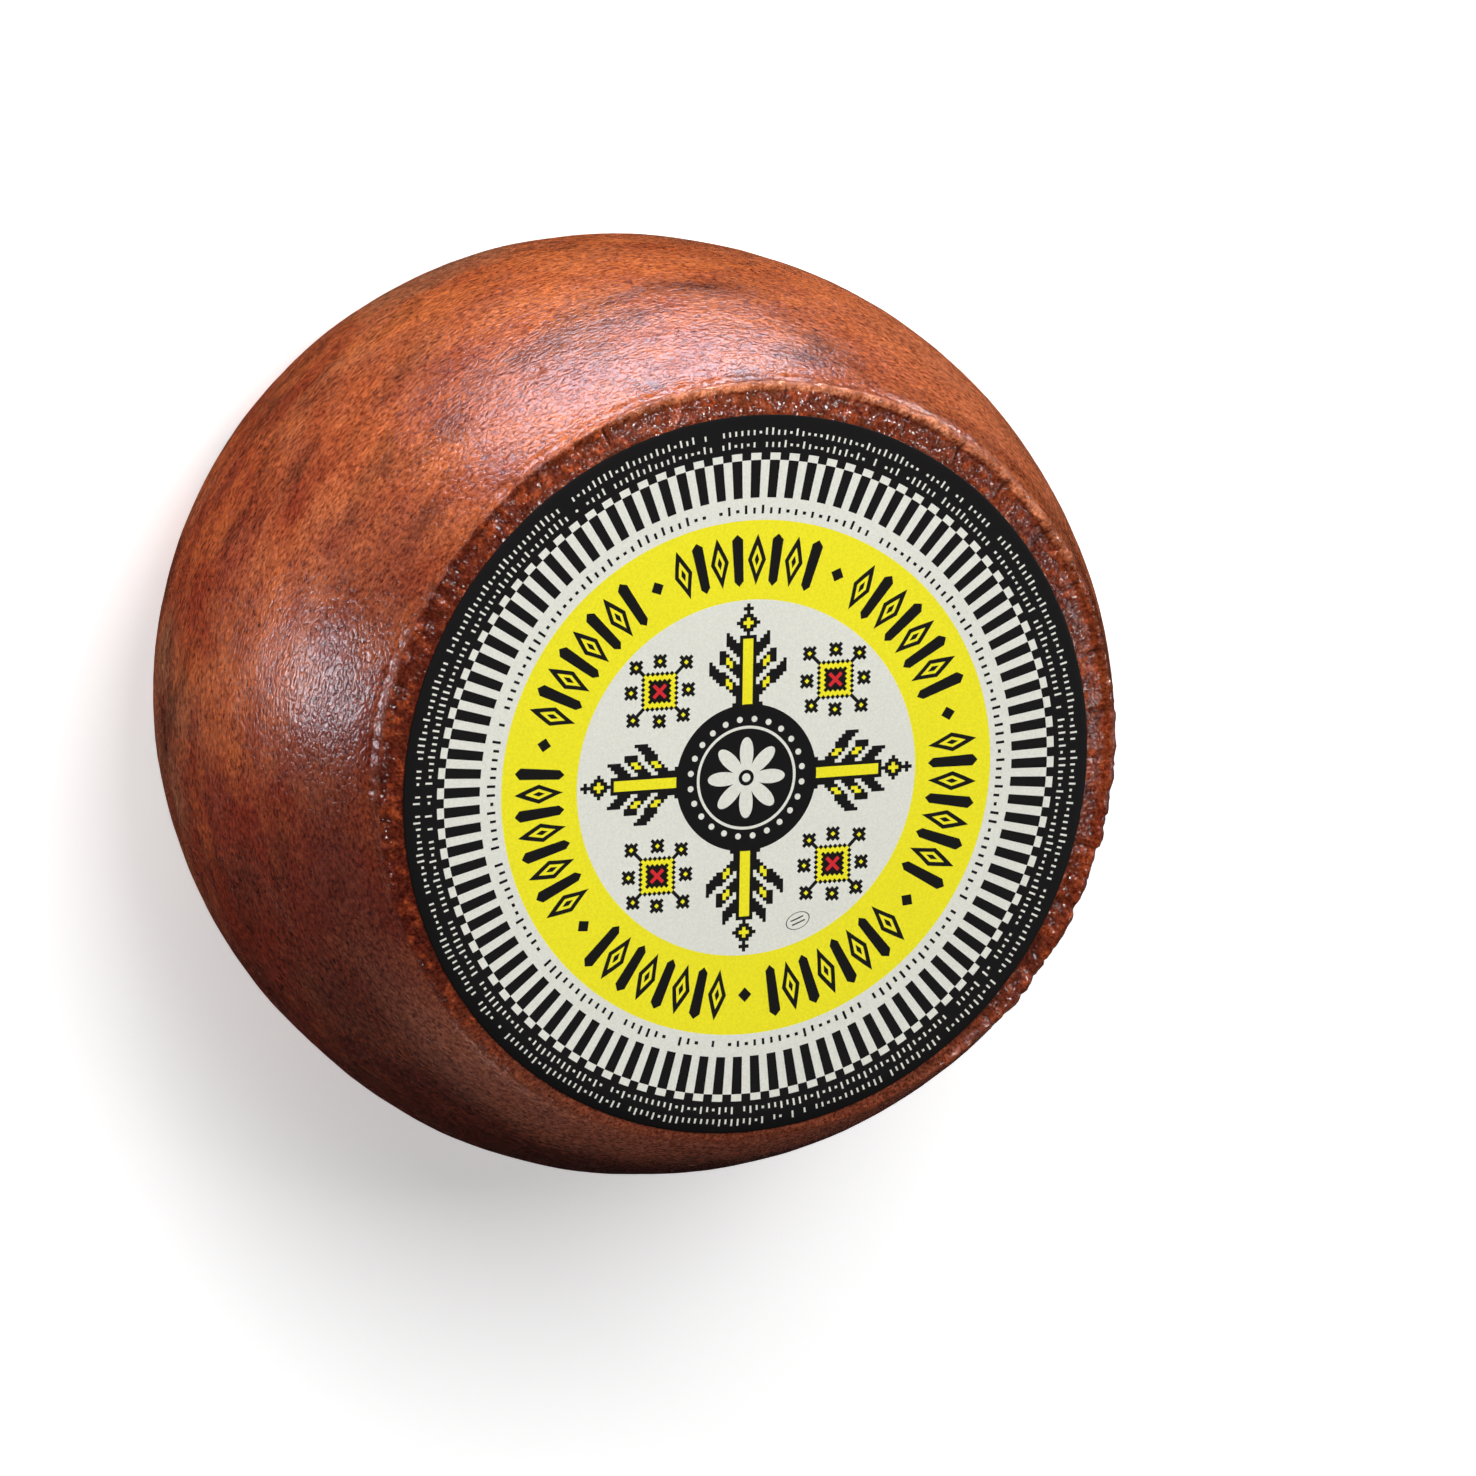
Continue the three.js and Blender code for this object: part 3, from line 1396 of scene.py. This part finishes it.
    @staticmethod
    def turned_grid(
        graph: Graph, wires: Mapping[str, Wire]
    ) -> tuple[Wire, Wire, dict[str, Wire]]:
        """A grid with a row for each vertex of the outline.

        Args:
            graph: The tree's graph.
            wires: The tree's inputs.

        Returns:
            The grid, each point's turn round the axis, and the outline's values for its row.
        """
        outline = wires["Outline"]
        domain = graph.node("GeometryNodeAttributeDomainSize", {"Geometry": outline})
        rows = graph.out(domain, "Point Count")
        steps = wires["Turns"] + 1.0
        grid = graph.node(
            "GeometryNodeMeshGrid",
            {"Size X": 1.0, "Size Y": 1.0, "Vertices X": rows, "Vertices Y": steps},
        )
        index = graph.out(graph.node("GeometryNodeInputIndex"))
        row = graph.math("FLOOR", (index + 0.5) / steps)
        turn = (index - row * steps) / wires["Turns"] * TURN
        sampled = {}
        for name in ("soft", "ridged", "rough", "band", "crest", "groove"):
            vector = name in ("soft", "ridged")
            kind = "FLOAT_VECTOR" if vector else "FLOAT"
            if name == "soft":
                value = graph.out(graph.node("GeometryNodeInputPosition"))
            else:
                named = graph.node(
                    "GeometryNodeInputNamedAttribute", {"Name": name}, data_type=kind
                )
                value = graph.out(named, "Attribute")
            sample = graph.node(
                "GeometryNodeSampleIndex",
                {"Geometry": outline, "Value": value, "Index": row},
                data_type=kind,
                domain="POINT",
            )
            sampled[name] = graph.out(sample, "Value")
        return graph.out(grid, "Mesh"), turn, sampled

    @staticmethod
    def ridge_share(
        graph: Graph, wires: Mapping[str, Wire], turn: Wire, sampled: Mapping[str, Wire]
    ) -> tuple[Wire, Wire]:
        """Mix the two outlines round the wheel and tear the ridge's edge.

        Args:
            graph: The tree's graph.
            wires: The tree's inputs.
            turn: Each point's turn round the axis.
            sampled: The outline's values.

        Returns:
            The mixed outline point and the share of the ridged outline.
        """
        around = graph.join(graph.math("COSINE", turn), graph.math("SINE", turn), 0.0)
        wander = graph.noise(around, 2.2, 2.0, 0.5, wires["Seed"]) - 0.5
        facing = graph.math("COSINE", turn - wires["Ridge Facing"])
        share = graph.ramp(facing + wander * 0.6, -0.88, -0.35)
        fine = graph.noise(around, 14.0, 6.0, 0.8, wires["Seed"] + 1.0) - 0.5
        tear = fine * wires["Ridge Tatter"] * 6.0 * share
        mixed = graph.mix_vector(share, sampled["soft"], sampled["ridged"])
        _, _, level = graph.split(mixed)
        on_edge = graph.ramp(level, 126.5 * MM, 129.2 * MM) * graph.ramp(
            level, 131.2 * MM, 129.9 * MM
        )
        moved = graph.vector(
            "ADD", mixed, graph.join(tear * on_edge * 0.5, 0.0, tear * on_edge)
        )
        return moved, share

    def skin_height(self, graph: Graph, wires: Mapping[str, Wire]) -> Wire:
        """How far each point of the skin stands out: lumps, ripples, grain, pits and creases.

        Args:
            graph: The tree's graph.
            wires: The tree's inputs.

        Returns:
            The height, in metres.
        """
        place = graph.out(graph.node("GeometryNodeInputPosition"))
        names = ("rough", "band", "crest", "ridge", "crease", "groove", "bare", "knob")
        marks = {name: self.read(graph, name) for name in names}
        seed = wires["Seed"]
        drawn = graph.vector("MULTIPLY", place, (0.5, 0.5, 1.0))

        def relief(vector: Wire, height: str, size: str, detail: float, extra: float) -> Wire:
            """One size of bumps, up and down by a height."""
            scale = graph.math("DIVIDE", 1.0, wires[size])
            bumps = graph.noise(vector, scale, detail, 0.5, seed + extra) - 0.5
            return bumps * (wires[height] * 2.0)

        lumps = relief(place, "Lump Height", "Lump Size", 1.0, 0.0)
        ripples = relief(drawn, "Ripple Height", "Ripple Size", 2.0, 3.0)
        grain = relief(drawn, "Grain Height", "Grain Size", 2.0, 5.0)

        cells = graph.cells(place, graph.math("DIVIDE", 1.0, wires["Pit Spacing"]))
        spot = graph.split(graph.out(cells, "Color"))[0]
        reach = 0.07 + spot * 0.07
        pit = graph.ramp(graph.out(cells, "Distance"), reach, 0.02) * (spot > 0.55)

        torn = graph.noise(place, 260.0, 2.0, 0.6, seed + 9.0)
        x, y, _ = graph.split(place)
        side = graph.math("COSINE", graph.math("ARCTAN2", y, x) - wires["Groove Facing"])
        proud = 1.0 + graph.ramp(side, 0.2, 0.8) * 1.2
        crest = marks["crest"] * marks["ridge"] * (torn * 1.7 - 0.1) * proud
        crest = crest * wires["Ridge Height"]
        crease = marks["crease"] * (0.35 + marks["ridge"] * 0.65) * wires["Crease Depth"]
        worn = graph.noise(place, 45.0, 2.0, 0.5, seed + 11.0) * 1.5
        groove = marks["groove"] * graph.ramp(side, 0.25, 0.7) * worn * wires["Groove Depth"]
        knobs = (marks["knob"] - 0.5) * (wires["Knob Height"] * 2.0) * marks["band"]
        knobs = knobs * (0.8 + graph.ramp(side, 0.0, 0.8) * 1.2)
        total = lumps + ripples + grain - pit * wires["Pit Depth"]
        rough = total * marks["rough"] * marks["bare"]
        return rough + knobs * marks["bare"] + crest - crease - groove

    def build(self, finish: bpy.types.Material) -> bpy.types.Object:
        """Make the wheel as a plain mesh.

        Args:
            finish: The rind's material.

        Returns:
            The object.
        """
        made = self.outline_mesh()
        tree = self.tree()
        modifier = made.modifiers.new("turned_rind", "NODES")
        modifier.node_group = tree
        for item in tree.interface.items_tree:
            if item.in_out == "INPUT" and item.name == "Finish":
                modifier[item.identifier] = finish
        graph = bpy.context.evaluated_depsgraph_get()
        mesh = bpy.data.meshes.new_from_object(made.evaluated_get(graph))
        made.modifiers.clear()
        made.data = mesh
        mesh.name = "rind_wheel"
        face_outwards(mesh)
        self.lay_map(mesh)
        return made

    def lay_map(self, mesh: bpy.types.Mesh) -> None:
        """Give the wheel its map: the side as two half turns, with the faces small below them.

        Args:
            mesh: The wheel.
        """
        layer = mesh.uv_layers.new(name="OFBake")
        half = self.height / 2.0
        low, high = self.map_low, self.map_high
        shrink = self.map_face / self.widest
        for face in mesh.polygons:
            centre = face.center
            slope = math.atan2(centre.z - half, math.hypot(centre.x, centre.y))
            around = math.atan2(centre.y, centre.x)
            behind = around < 0.0
            for loop in face.loop_indices:
                spot = mesh.vertices[mesh.loops[loop].vertex_index].co
                if slope > high or slope < low:
                    middle = 0.13 if slope > high else 0.37
                    place = (middle + spot.x * shrink, self.map_face + spot.y * shrink)
                else:
                    turn = math.atan2(spot.y, spot.x)
                    turn += TURN * round((around - turn) / TURN)
                    share = (turn + (math.pi if behind else 0.0)) / math.pi
                    rise = math.atan2(spot.z - half, math.hypot(spot.x, spot.y))
                    rise = (rise - low) / (high - low)
                    row = 0.26 if behind else 0.63
                    place = (0.015 + share * 0.97, row + rise * self.map_row)
                layer.data[loop].uv = place


def face_outwards(mesh: bpy.types.Mesh) -> None:
    """Turn a closed mesh's faces outwards if they point in.

    Args:
        mesh: The mesh.
    """
    volume = 0.0
    mesh.calc_loop_triangles()
    points = [v.co for v in mesh.vertices]
    for triangle in mesh.loop_triangles:
        a, b, c = (points[i] for i in triangle.vertices)
        volume += a.dot(b.cross(c))
    if volume < 0.0:
        mesh.flip_normals()


@dataclass
class PaperLabel:
    """The round label: a thin closed sheet that follows the face and bends over its rim."""

    centre: Point
    radius: float
    level: float
    nudge: float = 0.45 * MM
    trim: float = 0.3 * MM
    thickness: float = 0.14 * MM
    flat_to: float = 74.3 * MM
    bend: float = 10.0 * MM
    spokes: int = 288
    rings: int = 40

    def drop(self, x: float, y: float) -> float:
        """How far the sheet has bent down at a point.

        Args:
            x: The point's place, in metres.
            y: The point's place, in metres.

        Returns:
            The drop, in metres.
        """
        over = max(0.0, math.hypot(x, y) - self.flat_to)
        ripple = 0.035 * MM * math.sin(x * 95.0 + 1.3) * math.cos(y * 80.0 - 0.4)
        return over * over / (2.0 * self.bend) - ripple

    def build(self, finish: bpy.types.Material) -> bpy.types.Object:
        """Make the sheet.

        Args:
            finish: The label's material.

        Returns:
            The object.
        """
        points: list[tuple[float, float, float]] = []
        faces: list[tuple[int, ...]] = []
        middle = (self.centre[0] + self.nudge, self.centre[1])
        for side in (1, 0):
            lift = self.thickness * side
            points.append((*middle, self.level + lift - self.drop(*middle)))
            for ring in range(1, self.rings + 1):
                share = ring / self.rings
                reach = (self.radius - self.trim) * (1.0 - (1.0 - share) ** 1.5)
                for spoke in range(self.spokes):
                    angle = TURN * spoke / self.spokes
                    x = middle[0] + reach * math.cos(angle)
                    y = middle[1] + reach * math.sin(angle)
                    points.append((x, y, self.level + lift - self.drop(x, y)))
        sheet = 1 + self.rings * self.spokes
        for side, start in ((1, 0), (0, sheet)):
            for spoke in range(self.spokes):
                after = (spoke + 1) % self.spokes
                face = (start, start + 1 + spoke, start + 1 + after)
                faces.append(face if side else face[::-1])
                for ring in range(self.rings - 1):
                    low = start + 1 + ring * self.spokes
                    high = low + self.spokes
                    face = (low + spoke, high + spoke, high + after, low + after)
                    faces.append(face if side else face[::-1])
        rim = 1 + (self.rings - 1) * self.spokes
        for spoke in range(self.spokes):
            after = (spoke + 1) % self.spokes
            faces.append((rim + after, rim + spoke, sheet + rim + spoke, sheet + rim + after))
        mesh = bpy.data.meshes.new("label_sheet")
        mesh.from_pydata(points, [], faces)
        mesh.update()
        face_outwards(mesh)
        top = len(faces) - self.spokes
        mesh.polygons.foreach_set("use_smooth", [i < top for i in range(len(faces))])
        self.lay_map(mesh, middle)
        mesh.materials.append(finish)
        made = bpy.data.objects.new("label_sheet", mesh)
        bpy.context.scene.collection.objects.link(made)
        return made

    def lay_map(self, mesh: bpy.types.Mesh, middle: Point) -> None:
        """Give the sheet its map: the print fills it, and the underside and rim are in a corner.

        Args:
            mesh: The sheet.
            middle: The sheet's centre.
        """
        layer = mesh.uv_layers.new(name="OFBake")
        side = self.rings * self.spokes
        reach = self.radius - self.trim
        corner = 0.082
        for face in mesh.polygons:
            for loop in face.loop_indices:
                vertex = mesh.loops[loop].vertex_index
                spot = mesh.vertices[vertex].co
                if face.index < side:
                    home, size = 0.5, 0.485
                elif face.index < 2 * side:
                    home, size = corner, 0.062
                else:
                    home, size = corner, 0.066 if vertex > side else 0.073
                layer.data[loop].uv = (
                    home + (spot.x - middle[0]) / reach * size,
                    home + (spot.y - middle[1]) / reach * size,
                )


# ---------------------------------------------------------------- studio


class LightUse(Enum):
    """What a light does: it lights and shades, or it is only seen in reflections."""

    SHADE = "shade"
    GLINT = "glint"


@dataclass(frozen=True)
class Softbox:
    """A rectangular light.

    Bearing is measured from +X towards +Y, in degrees like the rise. The light looks at the wheel
    unless it lies flat, and then its rise is its height over the floor in millimetres.
    """

    name: str
    bearing: float
    rise: float
    distance: float
    width: float
    depth: float
    glow: float
    use: LightUse
    flat: bool = False
    tint: tuple[float, float, float] = (1.0, 1.0, 1.0)

    def build(self, target: Vector) -> bpy.types.Object:
        """Make the light.

        Args:
            target: What it looks at.

        Returns:
            The light.
        """
        light = bpy.data.lights.new(self.name, "AREA")
        light.shape = "RECTANGLE"
        light.size = self.width
        light.size_y = self.depth
        light.energy = self.glow * math.pi * self.width * self.depth
        light.color = self.tint
        made = bpy.data.objects.new(self.name, light)
        bearing, rise = math.radians(self.bearing), math.radians(self.rise)
        out = Vector((math.cos(bearing), math.sin(bearing), 0.0))
        if self.flat:
            made.location = out * self.distance + Vector((0.0, 0.0, self.rise * MM))
            back = Vector((0.0, 0.0, -1.0))
        else:
            way = out * math.cos(rise) + Vector((0.0, 0.0, math.sin(rise)))
            made.location = target + way * self.distance
            back = way
        right = Vector((-math.sin(bearing), math.cos(bearing), 0.0))
        up = back.cross(right)
        made.matrix_world = Matrix.Translation(made.location) @ Matrix(
            (right, up, back)
        ).transposed().to_4x4()
        made.visible_camera = False
        made.visible_glossy = self.use is LightUse.GLINT
        made.visible_diffuse = self.use is LightUse.SHADE
        bpy.context.scene.collection.objects.link(made)
        return made


@dataclass(frozen=True)
class Studio:
    """A pale floor, soft lights and the camera, which looks down past the wheel's shoulder."""

    tilt: float = math.radians(24.9)
    hinge: float = math.radians(61.0)
    distance: float = 8.0
    frame_width: float = 308.0 * MM
    right: float = -1.4 * MM
    up: float = 7.7 * MM
    surround: float = 0.28
    below: float = 0.11
    dark_zenith: float = 0.8
    card_way: tuple[float, float, float] = (-0.390, -0.918, -0.070)
    card_glow: float = 0.95
    card_reach: Span = (0.76, 0.92)
    horizon: Span = (-0.35, 0.15)
    zenith: Span = (0.40, 0.75)
    floor_glow: float = 0.50
    floor_half: float = 40.0
    floor_white: float = 0.97
    lights: tuple[Softbox, ...] = (
        Softbox("overhead_softbox", 86.0, 64.0, 1.6, 0.9, 0.9, 8.25, LightUse.SHADE),
        Softbox("side_softbox", 122.0, 21.0, 1.5, 1.0, 0.8, 4.2, LightUse.SHADE),
        Softbox(
            "far_low_panel",
            *(92.0, 3.0, 0.44, 0.40, 0.34, 12.5, LightUse.GLINT),
            flat=True,
            tint=(0.86, 0.94, 1.16),
        ),
        Softbox(
            "left_low_panel",
            *(174.0, 3.0, 0.32, 0.075, 0.10, 25.0, LightUse.GLINT),
            flat=True,
            tint=(0.92, 0.96, 1.08),
        ),
        Softbox("small_overhead_lamp", 71.0, 64.0, 1.2, 0.08, 0.08, 170.0, LightUse.GLINT),
        Softbox("ridge_lamp", 42.0, 14.0, 0.9, 0.09, 0.09, 140.0, LightUse.GLINT),
        Softbox("low_glint_lamp", 250.0, 8.0, 1.0, 0.12, 0.06, 12.0, LightUse.GLINT),
        Softbox("right_softbox", 3.0, 11.0, 0.9, 0.32, 0.28, 2.5, LightUse.GLINT),
        Softbox("small_right_lamp", 352.0, 40.0, 1.2, 0.06, 0.06, 160.0, LightUse.GLINT),
    )

    def floor(self) -> bpy.types.Object:
        """The floor."""
        half = self.floor_half
        mesh = bpy.data.meshes.new("pale_floor")
        corners = [(-half, -half, 0.0), (half, -half, 0.0), (half, half, 0.0), (-half, half, 0.0)]
        mesh.from_pydata(corners, [], [(0, 1, 2, 3)])
        material, _, shader = new_material("pale_floor")
        white = self.floor_white
        shader.inputs["Base Color"].default_value = (white, white, white, 1.0)
        shader.inputs["Roughness"].default_value = 0.9
        shader.inputs["Specular IOR Level"].default_value = 0.0
        shader.inputs["Emission Color"].default_value = (1.0, 1.0, 1.0, 1.0)
        shader.inputs["Emission Strength"].default_value = self.floor_glow
        mesh.materials.append(material)
        made = bpy.data.objects.new("pale_floor", mesh)
        made.visible_glossy = False
        bpy.context.scene.collection.objects.link(made)
        return made

    def camera(self, target: Vector) -> bpy.types.Object:
        """The camera.

        Args:
            target: The middle of the label.

        Returns:
            The camera.
        """
        data = bpy.data.cameras.new("camera")
        data.sensor_width = 36.0
        data.lens = data.sensor_width * self.distance / self.frame_width
        data.clip_end = 300.0
        hinge = Vector((math.cos(self.hinge), math.sin(self.hinge), 0.0))
        turn = Matrix.Rotation(-self.tilt, 3, hinge)
        right, up, back = turn.col[0], turn.col[1], turn.col[2]
        aim = target + right * self.right + up * self.up
        made = bpy.data.objects.new("camera", data)
        made.matrix_world = Matrix.Translation(aim + back * self.distance) @ turn.to_4x4()
        bpy.context.scene.collection.objects.link(made)
        bpy.context.scene.camera = made
        return made

    def world(self) -> None:
        """The light all round: even at the sides, darker overhead, a soft card low in front."""
        world = bpy.data.worlds.new("studio_surround")
        world.use_nodes = True
        graph = Graph(world.node_tree)
        background = world.node_tree.nodes["Background"]
        way = graph.out(graph.node("ShaderNodeTexCoord"), "Generated")
        rise = graph.split(way)[2]
        high = graph.ramp(rise, *self.zenith) * self.dark_zenith
        glow = graph.ramp(rise, *self.horizon) * (1.0 - high) * self.surround + self.below
        card = graph.node(
            "ShaderNodeVectorMath", {0: way, 1: self.card_way}, operation="DOT_PRODUCT"
        )
        card_mask = graph.ramp(graph.out(card, "Value"), *self.card_reach)
        glow = glow + card_mask * self.card_glow
        graph.feed(background.inputs["Strength"], glow)
        bpy.context.scene.world = world

    def build(self, target: Vector) -> None:
        """Make the studio.

        Args:
            target: The middle of the label.
        """
        self.floor()
        self.camera(target)
        self.world()
        middle = Vector((0.0, 0.0, target.z * 0.5))
        for softbox in self.lights:
            softbox.build(middle)
        bpy.context.scene.view_settings.view_transform = "Standard"


# ---------------------------------------------------------------- assembly


def place_piece(piece: bpy.types.Object, node: str) -> None:
    """Put a piece on the frame in a CAD node's stead.

    Args:
        piece: The piece.
        node: The CAD node it stands for.
    """
    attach(piece, "root")
    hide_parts(node)
    LOG.info("%s: %d faces", piece.name, len(piece.data.polygons))


def main() -> None:
    """Build the wheel, its label and the studio, in that order."""
    logging.basicConfig(level=logging.INFO, format="%(name)s %(message)s")
    low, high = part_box("cheese_wheel")
    label_low, label_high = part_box("paper_label")
    label_centre = (
        (label_low[0] + label_high[0]) / 2.0,
        (label_low[1] + label_high[1]) / 2.0,
    )
    label_radius = (label_high[0] - label_low[0]) / 2.0
    shared = SharedGroups.build()

    wheel = CheeseWheel(
        widest=(high[0] - low[0]) / 2.0,
        height=high[2] - low[2],
        label_centre=label_centre,
        label_radius=label_radius,
    )
    place_piece(wheel.build(OiledRind().build(shared)), "cheese_wheel")

    paper = PrintedPaper(centre=label_centre, radius=label_radius)
    label = PaperLabel(centre=label_centre, radius=label_radius, level=high[2])
    place_piece(label.build(paper.build(shared)), "paper_label")

    Studio().build(Vector((*label_centre, high[2])))


if __name__ == "__main__":
    main()
